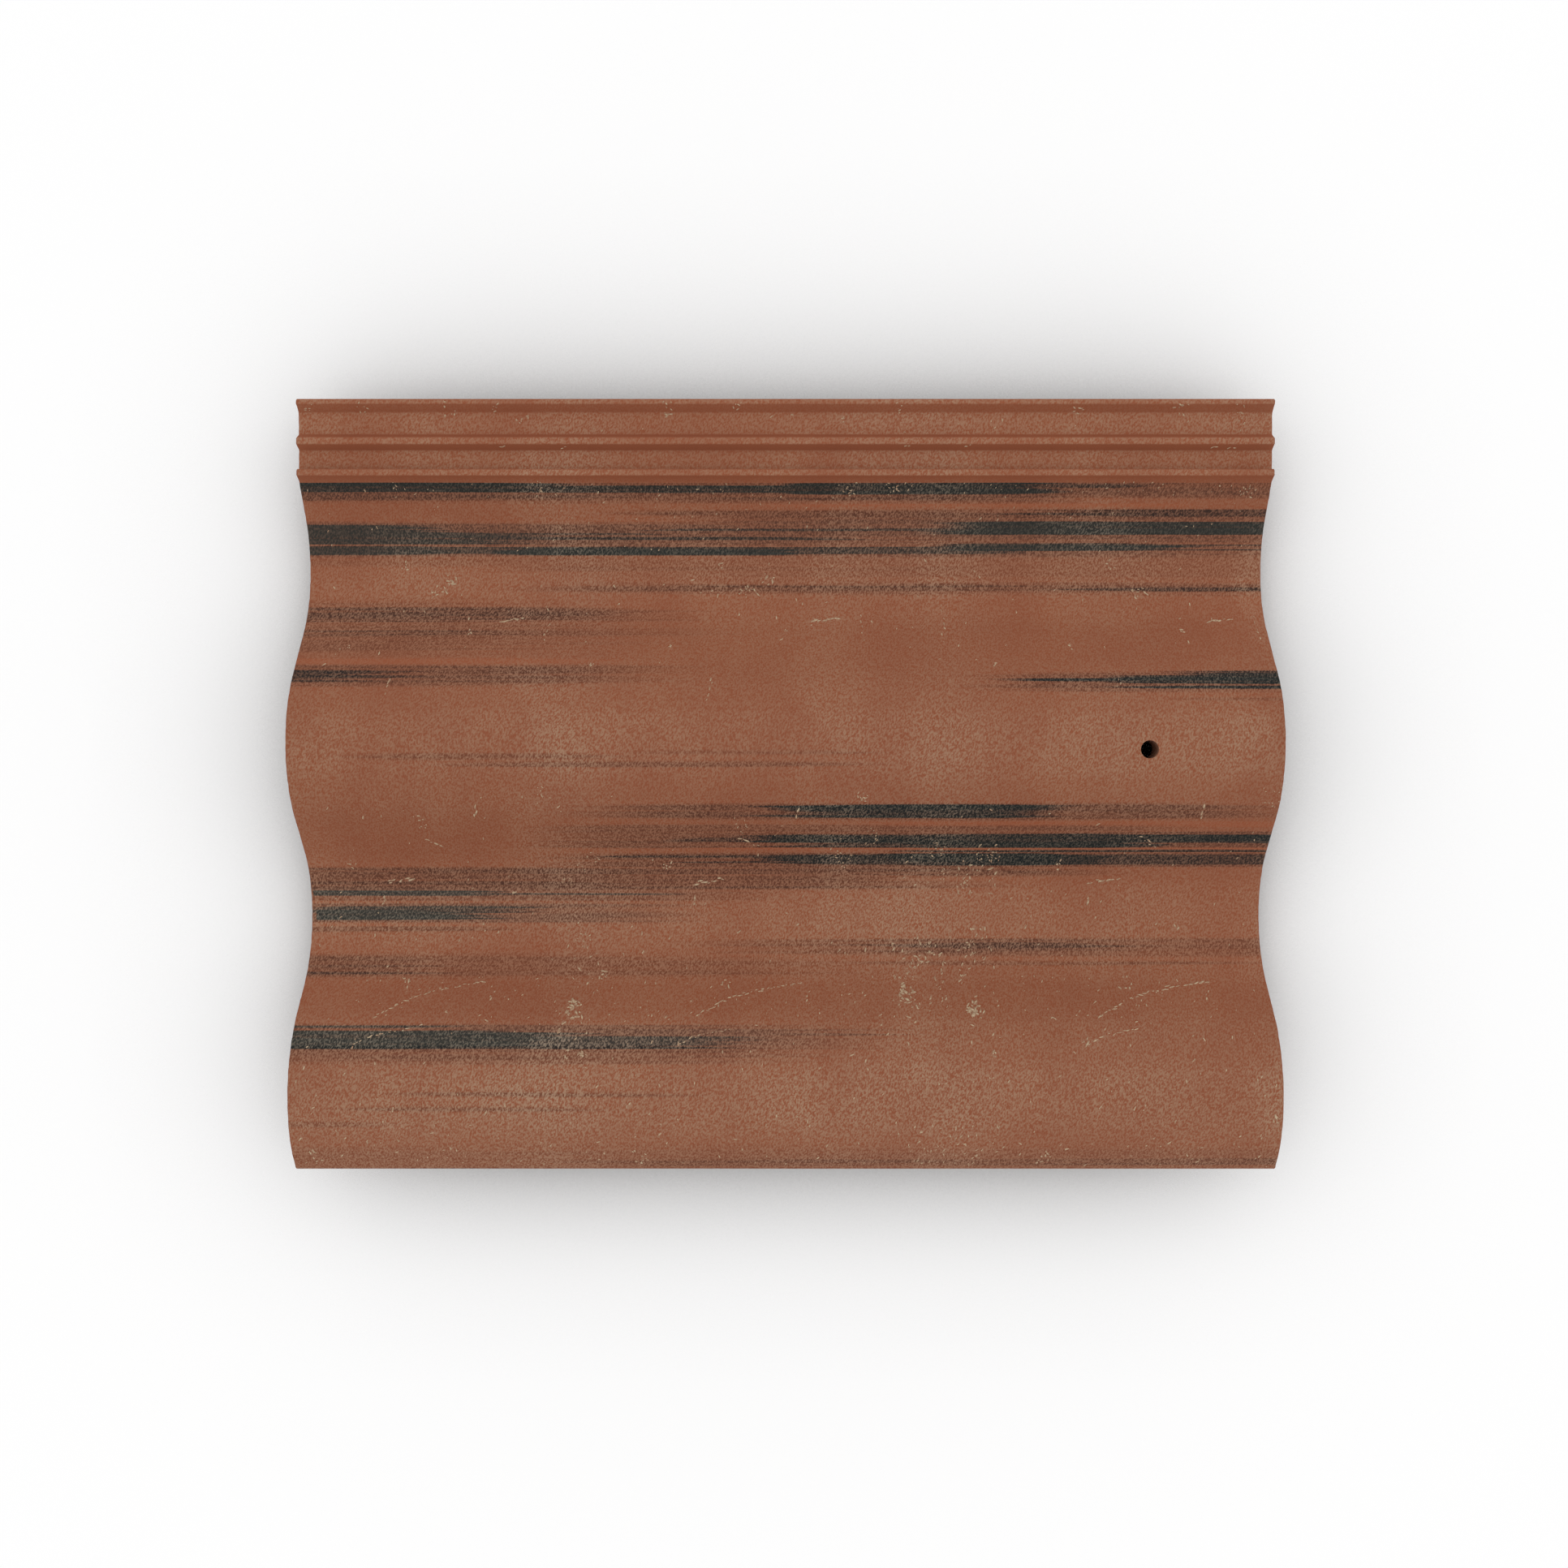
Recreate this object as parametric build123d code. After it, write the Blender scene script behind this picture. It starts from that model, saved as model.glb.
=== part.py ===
from build123d import *
import math
import os

# A double pantile: an interlocking concrete roof tile with two rolls and two pans.
# The tile runs along X, from its tail (-X, lower on the roof) to its head (+X).
# Its underlock, the side that the next tile covers, is at +Y, and its overlock at -Y.
# The section is drawn with the crests of the rolls at height 0, and the finished tile
# is then raised so that the feet of its nibs stand at height 0.

# Driving dimensions, in millimetres, with angles in degrees.
TILE_LENGTH = 420.0

# The wave of the weathered face: round rolls and pans, with straight flanks between them.
ROLLS = 2
ROLL_PITCH = 150.0            # from one crest to the next
WAVE_HEIGHT = 36.8            # from the bottom of a pan to the crest of a roll
PAN_RADIUS = 41.6
FLANK_SLOPE = 41.5            # beside the inner roll
EDGE_FLANK_SLOPE = 44.3       # beside the roll at the overlock, which is a little fuller
LAST_FLANK_SLOPE = 32.9       # from the last pan up to the underlock
LAST_PAN_SHIFT = 1.4          # the last pan is this much wider on its roll's side
THICKNESS = 12.0              # measured plumb, so that tiles nest in each other
EDGE_ROUNDING = 1.0           # the long arris of the overlock

# The underlock: three ribs with a water channel between each two.
CHANNEL_FLOOR_DROP = 21.0     # from the crests down to the floors of the channels
RIB_HEIGHT = 3.9
RIB_TOP = 2.9
RIB_RUN = 2.1                 # how far a sloping rib side runs out at its foot
OUTER_RIB_TOP = 2.2
OUTER_RIB_RUN = 3.0
OUTER_CHANNEL = 9.2
INNER_CHANNEL = 8.4
UNDERLOCK_FLOOR = 9.0         # the thickness under the channels
RIB_ROUNDING = 0.8

# The overlock: tongues that hang in the channels of the next tile.
LOCK_LIFT = 0.8               # clearance above the ribs and above the channel floors
LOCK_PLAY = 1.5               # clearance at each side, which lets the cover width vary
LIP_LAP = 0.1                 # how far the overlock edge reaches over the inner rib
TONGUE_RUN = 1.5              # draft of the tall inside face of the first tongue

# The nibs that hang the tile on its batten, one under the head of each pan.
NIB_SETBACK = 26.0            # from the head to the faces that bear on the batten
NIB_FOOT_LENGTH = 12.0
NIB_FOOT_WIDTH = 42.0
NIB_DEPTH = 11.0              # below the underside of the pan
NIB_DRAFT = 14.0
NIB_ROUNDING = 1.5

# The weather bars across the underside of the tail.
BARS = 3
BAR_DEPTH = 4.0
BAR_WIDTH = 8.0
BAR_PITCH = 22.0
BAR_SETBACK = 12.0            # from the tail to the middle of the first bar
BAR_ROUNDING = 1.5

# The nail hole through the inner roll.
NAIL_HOLE_DIAMETER = 7.5
NAIL_HOLE_SETBACK = 57.2      # from the head
NAIL_HOLE_OFFSET = 2.3        # from the crest, towards the overlock

# What follows from them. The overlock reaches out to the inner rib of the next tile,
# which lies one cover width away.
LAST_SLOPE = math.radians(LAST_FLANK_SLOPE)
CHANNEL_FLOOR = -CHANNEL_FLOOR_DROP
RIB_CREST = CHANNEL_FLOOR + RIB_HEIGHT
UNDERLOCK_BOTTOM = CHANNEL_FLOOR - UNDERLOCK_FLOOR
NIB_FOOT = -WAVE_HEIGHT - THICKNESS - NIB_DEPTH

COVER_WIDTH = ROLLS * ROLL_PITCH
CREST_TO_LAST_PAN = ROLL_PITCH / 2 + LAST_PAN_SHIFT
LAST_ARC_RISE = PAN_RADIUS * (1 - math.cos(LAST_SLOPE))
LAST_FLANK_RISE = WAVE_HEIGHT - CHANNEL_FLOOR_DROP - LAST_ARC_RISE
LAST_PAN_TO_RIB = PAN_RADIUS * math.sin(LAST_SLOPE) + LAST_FLANK_RISE / math.tan(LAST_SLOPE)
WAVE_WIDTH = COVER_WIDTH - ROLL_PITCH + CREST_TO_LAST_PAN + LAST_PAN_TO_RIB
INNER_RIB_WIDTH = RIB_RUN + RIB_TOP
MIDDLE_RIB_WIDTH = RIB_TOP + 2 * RIB_RUN
OUTER_RIB_WIDTH = OUTER_RIB_TOP + OUTER_RIB_RUN
UNDERLOCK_WIDTH = INNER_RIB_WIDTH + INNER_CHANNEL + MIDDLE_RIB_WIDTH + OUTER_CHANNEL + OUTER_RIB_WIDTH
OVERLOCK_REACH = COVER_WIDTH - WAVE_WIDTH - INNER_RIB_WIDTH + LIP_LAP
TILE_WIDTH = OVERLOCK_REACH + WAVE_WIDTH + UNDERLOCK_WIDTH

HEAD = TILE_LENGTH / 2
TAIL = -HEAD
UNDERLOCK_EDGE = TILE_WIDTH / 2
OVERLOCK_EDGE = -UNDERLOCK_EDGE
EDGE_CREST = OVERLOCK_EDGE + OVERLOCK_REACH
INNER_CREST = EDGE_CREST + COVER_WIDTH - ROLL_PITCH
LAST_PAN = INNER_CREST + CREST_TO_LAST_PAN
RIB_FOOT = LAST_PAN + LAST_PAN_TO_RIB


class Bend:
    """A round stretch of the wave, a roll or a pan, given by its highest or lowest point."""

    def __init__(self, y, z, radius, is_roll):
        self.y = y
        self.z = z
        self.radius = radius
        self.is_roll = is_roll
        self.centre_z = z - radius if is_roll else z + radius

    def at(self, y):
        """The point of the arc at y."""
        rise = math.sqrt(self.radius**2 - (y - self.y) ** 2)
        return (y, self.centre_z + rise if self.is_roll else self.centre_z - rise)

    def touch(self, side, slope):
        """Where a flank of this slope leaves the arc, on side +1 or -1 of its middle."""
        return self.at(self.y + side * self.radius * math.sin(slope))


def roll_radius(slope_in_degrees):
    """The radius that lets flanks of this slope join a roll to its pans, half a pitch away."""
    slope = math.radians(slope_in_degrees)
    both_radii = ROLL_PITCH / 2 * math.sin(slope) - WAVE_HEIGHT * math.cos(slope)
    return both_radii / (1 - math.cos(slope)) - PAN_RADIUS


def wave_bends():
    """The rolls and pans in order, from the overlock to the underlock."""
    bends = [Bend(EDGE_CREST, 0, roll_radius(EDGE_FLANK_SLOPE), True)]
    for count in range(1, ROLLS):
        crest = EDGE_CREST + count * ROLL_PITCH
        bends.append(Bend(crest - ROLL_PITCH / 2, -WAVE_HEIGHT, PAN_RADIUS, False))
        bends.append(Bend(crest, 0, roll_radius(FLANK_SLOPE), True))
    return bends + [Bend(LAST_PAN, -WAVE_HEIGHT, PAN_RADIUS, False)]


WAVE = wave_bends()
EDGE_ROLL = WAVE[0]


def flank_slope(left, right):
    """The slope of the straight flank that touches a roll and the pan beside it."""
    radii = left.radius + right.radius
    across = right.y - left.y
    up = radii - abs(left.z - right.z)
    return math.asin(radii / math.hypot(across, up)) - math.atan2(up, across)


def wave_line(drop, start_y, end_y):
    """The wave lowered by a plumb drop: tangent arcs and flanks from the edge roll to end_y."""
    slopes = [flank_slope(left, right) for left, right in zip(WAVE, WAVE[1:])] + [LAST_SLOPE]
    with BuildLine(Pos(0, -drop, 0)) as line:
        entry = EDGE_ROLL.at(start_y)
        for bend, slope, following in zip(WAVE, slopes, WAVE[1:] + [None]):
            leave = bend.touch(1, slope)
            ThreePointArc(entry, bend.at((entry[0] + leave[0]) / 2), leave)
            if following:
                entry = following.touch(-1, slope)
            else:
                entry = (end_y, leave[1] + (end_y - leave[0]) * math.tan(slope))
            Line(leave, entry)
    return line.line


def underlock_line():
    """The ribs and channels of the underlock, from the inner rib's foot to the outer edge."""
    steps = [
        (0, CHANNEL_FLOOR),
        (RIB_RUN, RIB_CREST),
        (RIB_TOP, RIB_CREST),
        (0, CHANNEL_FLOOR),
        (INNER_CHANNEL, CHANNEL_FLOOR),
        (RIB_RUN, RIB_CREST),
        (RIB_TOP, RIB_CREST),
        (RIB_RUN, CHANNEL_FLOOR),
        (OUTER_CHANNEL, CHANNEL_FLOOR),
        (OUTER_RIB_RUN, RIB_CREST),
        (OUTER_RIB_TOP, RIB_CREST),
        (0, UNDERLOCK_BOTTOM),
    ]
    y = RIB_FOOT
    points = []
    for width, z in steps:
        y += width
        points.append((y, z))
    return FilletPolyline(*points, radius=RIB_ROUNDING)


def tongue_points():
    """The underside of the overlock, from the wave out to its edge.

    The tongues are drawn around the ribs of the next tile, with the clearances of the lock.
    """
    inner_channel = RIB_FOOT + INNER_RIB_WIDTH - COVER_WIDTH
    middle_rib = inner_channel + INNER_CHANNEL
    outer_channel = middle_rib + MIDDLE_RIB_WIDTH
    outer_rib = outer_channel + OUTER_CHANNEL
    roof = RIB_CREST + LOCK_LIFT
    foot = CHANNEL_FLOOR + LOCK_LIFT
    start_y, start_z = EDGE_ROLL.at(outer_rib - LOCK_PLAY + TONGUE_RUN)
    return [
        (start_y, start_z - THICKNESS),
        (outer_rib - LOCK_PLAY, foot),
        (outer_channel + LOCK_PLAY, foot),
        (outer_channel + LOCK_PLAY - RIB_RUN, roof),
        (middle_rib - LOCK_PLAY + RIB_RUN, roof),
        (middle_rib - LOCK_PLAY, foot),
        (inner_channel + LOCK_PLAY, foot),
        (inner_channel + LOCK_PLAY, roof),
        (OVERLOCK_EDGE, roof),
    ]


def section():
    """The cross-section of the tile, the same from tail to head."""
    tongues = tongue_points()
    arris = EDGE_ROLL.at(OVERLOCK_EDGE)
    underside_end = RIB_FOOT + (THICKNESS - UNDERLOCK_FLOOR) / math.tan(LAST_SLOPE)
    top = wave_line(0, OVERLOCK_EDGE, RIB_FOOT)
    underside = wave_line(THICKNESS, tongues[0][0], underside_end)
    with BuildSketch(Plane.YZ) as sketch:
        with BuildLine():
            add(top)
            add(underlock_line())
            Line((UNDERLOCK_EDGE, UNDERLOCK_BOTTOM), (underside_end, UNDERLOCK_BOTTOM))
            add(underside)
            Polyline(*tongues, arris)
        make_face()
        fillet(sketch.vertices().sort_by_distance((0, *arris))[0], EDGE_ROUNDING)
    return sketch.sketch


def wave_core():
    """All that is below the middle of the tile's thickness, where the nibs are rooted."""
    core = wave_line(THICKNESS / 2, OVERLOCK_EDGE, RIB_FOOT)
    with BuildSketch(Plane.YZ) as sketch:
        with BuildLine():
            add(core)
            Polyline(core @ 1, (RIB_FOOT, NIB_FOOT), (OVERLOCK_EDGE, NIB_FOOT), core @ 0)
        make_face()
    return extrude(sketch.sketch, amount=HEAD, both=True)


def nib(pan_y, core):
    """A nib under the head of one pan: plumb where it bears on the batten, drafted elsewhere."""
    foot = Pos(HEAD - NIB_SETBACK, pan_y, NIB_FOOT)
    block = foot * Box(NIB_FOOT_LENGTH, NIB_FOOT_WIDTH, -NIB_FOOT, align=(Align.MIN, Align.CENTER, Align.MIN))
    drafted = block.faces().filter_by(Axis.Y) + [block.faces().sort_by(Axis.X)[-1]]
    block = draft(drafted, Plane.XY.offset(NIB_FOOT), -NIB_DRAFT)
    return fillet(block.faces().sort_by(Axis.Z)[0].edges(), NIB_ROUNDING) & core


def weather_bar(x):
    """A low bar across the underside, which follows the wave from the tongue to the underlock."""
    tongues = tongue_points()
    start = (tongues[1][0] + tongues[2][0]) / 2
    root = wave_line(THICKNESS / 2, start, RIB_FOOT)
    foot = wave_line(THICKNESS + BAR_DEPTH, start, RIB_FOOT)
    with BuildSketch(Plane.YZ.offset(x)) as sketch:
        with BuildLine():
            add(root)
            add(foot)
            Line(root @ 0, foot @ 0)
            Line(root @ 1, foot @ 1)
        make_face()
    bar = extrude(sketch.sketch, amount=BAR_WIDTH / 2, both=True)
    rims = []
    for side in (-1, 1):
        rim = Plane.YZ.offset(x + side * BAR_WIDTH / 2) * foot
        rims += [edge for edge in bar.edges() if rim.distance_to(edge @ 0.5) < BAR_ROUNDING / 10]
    return fillet(rims, BAR_ROUNDING)


def roof_tile():
    """The whole tile, raised to stand on the feet of its nibs."""
    body = extrude(section(), amount=HEAD, both=True)
    core = wave_core()
    for bend in WAVE:
        if not bend.is_roll:
            body += nib(bend.y, core)
    for count in range(BARS):
        body += weather_bar(TAIL + BAR_SETBACK + count * BAR_PITCH)
    axis = Pos(HEAD - NAIL_HOLE_SETBACK, INNER_CREST - NAIL_HOLE_OFFSET, 0)
    body -= axis * Cylinder(NAIL_HOLE_DIAMETER / 2, 2 * (WAVE_HEIGHT + THICKNESS))
    return Pos(0, 0, -NIB_FOOT) * body


tile = roof_tile()
os.makedirs("parts", exist_ok=True)
export_step(tile, "parts/roof_tile.step")
print("width", round(TILE_WIDTH, 3), "cover", COVER_WIDTH, "height", round(-NIB_FOOT, 3))
print("roll radii", [round(bend.radius, 2) for bend in WAVE], "overlock reach", round(OVERLOCK_REACH, 2))
print("volume", round(tile.volume / 1000, 1), "cm3")
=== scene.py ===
"""The looks of an interlocking double pantile of streaked concrete.

The tile lies along X, with its tail at -X and its head at +X. Its underlock is at +Y and its
overlock at -Y, and it stands on the feet of its nibs. Sizes in the classes are in millimetres, but
for the studio's, which are in metres.
"""

import logging
import math
import random
from contextlib import contextmanager
from dataclasses import dataclass, field
from enum import Enum
from functools import partial
from typing import Callable, Iterator, Optional, Sequence

import bmesh
import bpy
from mathutils import Matrix, Vector, noise
from mathutils.bvhtree import BVHTree

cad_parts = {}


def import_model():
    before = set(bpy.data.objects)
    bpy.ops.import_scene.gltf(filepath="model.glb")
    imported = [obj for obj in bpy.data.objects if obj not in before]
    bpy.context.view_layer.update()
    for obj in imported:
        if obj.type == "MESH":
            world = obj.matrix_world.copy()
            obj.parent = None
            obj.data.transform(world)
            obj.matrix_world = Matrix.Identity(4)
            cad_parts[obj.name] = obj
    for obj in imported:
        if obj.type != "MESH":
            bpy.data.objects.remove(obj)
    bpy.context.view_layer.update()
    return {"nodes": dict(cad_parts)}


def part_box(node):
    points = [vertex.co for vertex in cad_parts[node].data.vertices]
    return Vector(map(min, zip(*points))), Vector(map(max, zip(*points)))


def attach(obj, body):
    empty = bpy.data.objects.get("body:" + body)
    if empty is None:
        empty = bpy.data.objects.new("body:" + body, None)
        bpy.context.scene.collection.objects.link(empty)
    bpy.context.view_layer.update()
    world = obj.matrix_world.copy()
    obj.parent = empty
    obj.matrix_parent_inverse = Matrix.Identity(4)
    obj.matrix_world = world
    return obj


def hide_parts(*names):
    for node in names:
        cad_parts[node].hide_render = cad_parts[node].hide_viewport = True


log = logging.getLogger("pantile")

MM = 0.001

Span = tuple[float, float]
Triple = tuple[float, float, float]
Colour = Triple
Socket = bpy.types.NodeSocket


# Drawing node trees


class Sheet:
    """A node tree that is being drawn up, with the few kinds of node that these finishes use."""

    def __init__(self, tree: bpy.types.NodeTree) -> None:
        """Takes the tree to draw in."""
        self.tree = tree

    def node(self, kind: str, **settings: object) -> bpy.types.Node:
        """Adds a node.

        Args:
            kind: The node's type name.
            settings: Values for the node's own properties.

        Returns:
            The new node.
        """
        made = self.tree.nodes.new(kind)
        for name, value in settings.items():
            setattr(made, name, value)
        return made

    def feed(self, target: Socket, value: object) -> None:
        """Links a socket to a target, or sets the target to a plain value.

        Args:
            target: The input.
            value: The socket or the value.
        """
        if isinstance(value, bpy.types.NodeSocket):
            self.tree.links.new(value, target)
        elif isinstance(value, tuple) and len(value) == 3 and target.type == "RGBA":
            target.default_value = (*value, 1.0)
        else:
            target.default_value = value

    def math(self, operation: str, *values: object, clamp: bool = False) -> Socket:
        """Adds a Math node.

        Args:
            operation: The name of the operation.
            values: Its inputs, as sockets or numbers.
            clamp: Whether the result is kept between 0 and 1.

        Returns:
            The socket with the result.
        """
        made = self.node("ShaderNodeMath", operation=operation, use_clamp=clamp)
        for socket, value in zip(made.inputs, values):
            self.feed(socket, value)
        return made.outputs[0]

    def step(
        self, value: object, low: object, high: object, to_low: float = 0.0, to_high: float = 1.0
    ) -> Socket:
        """Adds a smooth step.

        Args:
            value: What it follows.
            low: The value where it starts.
            high: The value where it ends.
            to_low: The result at its start.
            to_high: The result at its end.

        Returns:
            The socket with the result.
        """
        made = self.node("ShaderNodeMapRange", interpolation_type="SMOOTHSTEP", clamp=False)
        names = ("Value", "From Min", "From Max", "To Min", "To Max")
        for name, given in zip(names, (value, low, high, to_low, to_high)):
            self.feed(made.inputs[name], given)
        return made.outputs["Result"]

    def mix(self, share: object, under: object, over: object) -> Socket:
        """Lays one colour over another.

        Args:
            share: How much of the upper colour shows.
            under: The lower colour.
            over: The upper colour.

        Returns:
            The socket with the blend.
        """
        made = self.node("ShaderNodeMix", data_type="RGBA", blend_type="MIX", clamp_factor=True)
        self.feed(made.inputs["Factor"], share)
        colours = [socket for socket in made.inputs if socket.type == "RGBA"]
        self.feed(colours[0], under)
        self.feed(colours[1], over)
        return next(socket for socket in made.outputs if socket.type == "RGBA")

    def stretch(self, place: Socket, scale: Triple, turn: float = 0.0, shift: float = 0.0) -> Socket:
        """Scales, turns about Z and shifts coordinates with a Mapping node.

        Args:
            place: The coordinates.
            scale: How much each axis is multiplied by.
            turn: The turn about Z, in degrees.
            shift: How far the pattern is moved along every axis.

        Returns:
            The socket with the new coordinates.
        """
        made = self.node("ShaderNodeMapping", vector_type="POINT")
        self.feed(made.inputs["Vector"], place)
        made.inputs["Location"].default_value = (shift, shift, shift)
        made.inputs["Rotation"].default_value = (0.0, 0.0, math.radians(turn))
        made.inputs["Scale"].default_value = scale
        return made.outputs["Vector"]

    def noise(self, place: Socket, scale: float = 1.0, detail: float = 2.0, **others: float) -> Socket:
        """Adds a Noise Texture.

        Args:
            place: The coordinates.
            scale: How many of its lumps lie along one unit.
            detail: How many finer layers it has.
            others: Values for its other inputs.

        Returns:
            The socket with its grey value, which is about 0.5 on average.
        """
        made = self.node("ShaderNodeTexNoise", noise_dimensions="3D")
        self.feed(made.inputs["Vector"], place)
        for name, value in {"scale": scale, "detail": detail, **others}.items():
            made.inputs[name.title()].default_value = value
        return made.outputs[0]

    def axes(self, vector: Socket) -> dict[str, Socket]:
        """Splits a vector.

        Args:
            vector: The vector.

        Returns:
            The sockets of its X, Y and Z by name.
        """
        made = self.node("ShaderNodeSeparateXYZ")
        self.feed(made.inputs[0], vector)
        return {socket.name: socket for socket in made.outputs}

    def use(self, group: bpy.types.NodeTree, **values: object) -> bpy.types.Node:
        """Places a node group.

        Args:
            group: The group.
            values: What feeds its inputs. An underscore in a name stands for a space.

        Returns:
            The group's node.
        """
        made = self.node("ShaderNodeGroup")
        made.node_tree = group
        for name, value in values.items():
            self.feed(made.inputs[name.replace("_", " ")], value)
        return made

    def end_in(self, shader: bpy.types.Node, kind: str = "ShaderNodeOutputMaterial") -> None:
        """Ends the tree in a shader, through an output node of this kind."""
        self.feed(self.node(kind).inputs["Surface"], shader.outputs[0])


def new_group(
    name: str, inputs: Sequence[str], outputs: Sequence[str]
) -> tuple[Sheet, dict[str, Socket], bpy.types.Node]:
    """Starts a node group whose sockets all carry numbers, but for Place, which carries coordinates.

    Args:
        name: The group's name.
        inputs: The names of its inputs.
        outputs: The names of its outputs.

    Returns:
        The sheet to draw on, the input sockets by name, and the output node.
    """
    tree = bpy.data.node_groups.new(name, "ShaderNodeTree")
    for direction, names in (("INPUT", inputs), ("OUTPUT", outputs)):
        for socket_name in names:
            kind = "NodeSocketVector" if socket_name == "Place" else "NodeSocketFloat"
            tree.interface.new_socket(socket_name, in_out=direction, socket_type=kind)
    sheet = Sheet(tree)
    entry, result = sheet.node("NodeGroupInput"), sheet.node("NodeGroupOutput")
    return sheet, {socket.name: socket for socket in entry.outputs if socket.name}, result


def new_material(name: str) -> tuple[bpy.types.Material, Sheet]:
    """Makes a material with nothing in it.

    Args:
        name: The material's name.

    Returns:
        The material and the sheet to draw it on.
    """
    material = bpy.data.materials.new(name)
    material.use_nodes = True
    material.node_tree.nodes.clear()
    return material, Sheet(material.node_tree)


# The streaks of the weathered face


class Stain(Enum):
    """What a brush stroke along the tile leaves behind."""

    CHARCOAL = "charcoal"
    HAZE = "haze"
    CLEAN = "clean"
    VEIL = "veil"


@dataclass(frozen=True)
class Stroke:
    """One streak along the tile, by the lines across (Y) and along (X) where it is at its full depth."""

    stain: Stain
    low: float
    high: float
    start: float
    end: float
    fade_in: float
    fade_out: float
    depth: float
    low_feather: float
    high_feather: float


# Well past both ends of the tile, so that a stroke runs off it.
TAIL = -260.0
HEAD = 260.0
charcoal, haze, clean, veil = (partial(Stroke, stain) for stain in Stain)

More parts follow.
